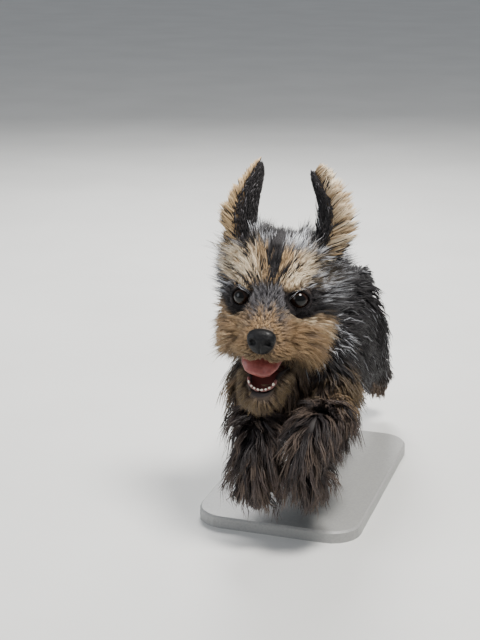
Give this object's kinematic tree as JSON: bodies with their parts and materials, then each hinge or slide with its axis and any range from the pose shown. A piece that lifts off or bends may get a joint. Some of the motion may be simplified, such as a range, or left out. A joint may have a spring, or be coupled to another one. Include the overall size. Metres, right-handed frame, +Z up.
{
  "type": "yorkshire terrier puppy, still life-size model",
  "caption": "Life-size still model of a young yorkshire terrier in mid leap, mouth open and ears up, carried by two rods on a plain flat base.",
  "frame": {"origin": "middle of the underside of the stand's base", "axes": "+Z up, the dog faces -Y, its left side is +X"},
  "size_m": [0.11, 0.2896, 0.2454],
  "materials": {
    "black_coat": "long, silky black hair with silver highlights",
    "brown_coat": "long, wavy dark brown hair with tan undersides",
    "tan_coat": "soft tan and cream hair",
    "eyes": "wet, almost black brown",
    "nose_leather": "moist black, finely pebbled",
    "mouth_flesh": "wet pink",
    "teeth": "white milk teeth",
    "stand_base_paint": "satin grey",
    "stand_steel": "brushed"
  },
  "bodies": {
    "root": {"torso": "black_coat", "neck": "black_coat", "tail": "black_coat", "ear_left": "black_coat", "ear_right": "black_coat", "head": "tan_coat", "jaw": "tan_coat", "upper_foreleg_left": "brown_coat", "upper_foreleg_right": "brown_coat", "paw_foreleg_left": "brown_coat", "paw_foreleg_right": "brown_coat", "thigh_hind_leg_left": "brown_coat", "thigh_hind_leg_right": "brown_coat", "shank_hind_leg_left": "tan_coat", "shank_hind_leg_right": "tan_coat", "paw_hind_leg_left": "tan_coat", "paw_hind_leg_right": "tan_coat", "eye_left": "eyes", "eye_right": "eyes", "nose": "nose_leather", "tongue": "mouth_flesh", "teeth_upper": "teeth", "teeth_lower": "teeth", "stand_base": "stand_base_paint", "stand_rod_front": "stand_steel", "stand_rod_rear": "stand_steel"}
  },
  "joints": []
}
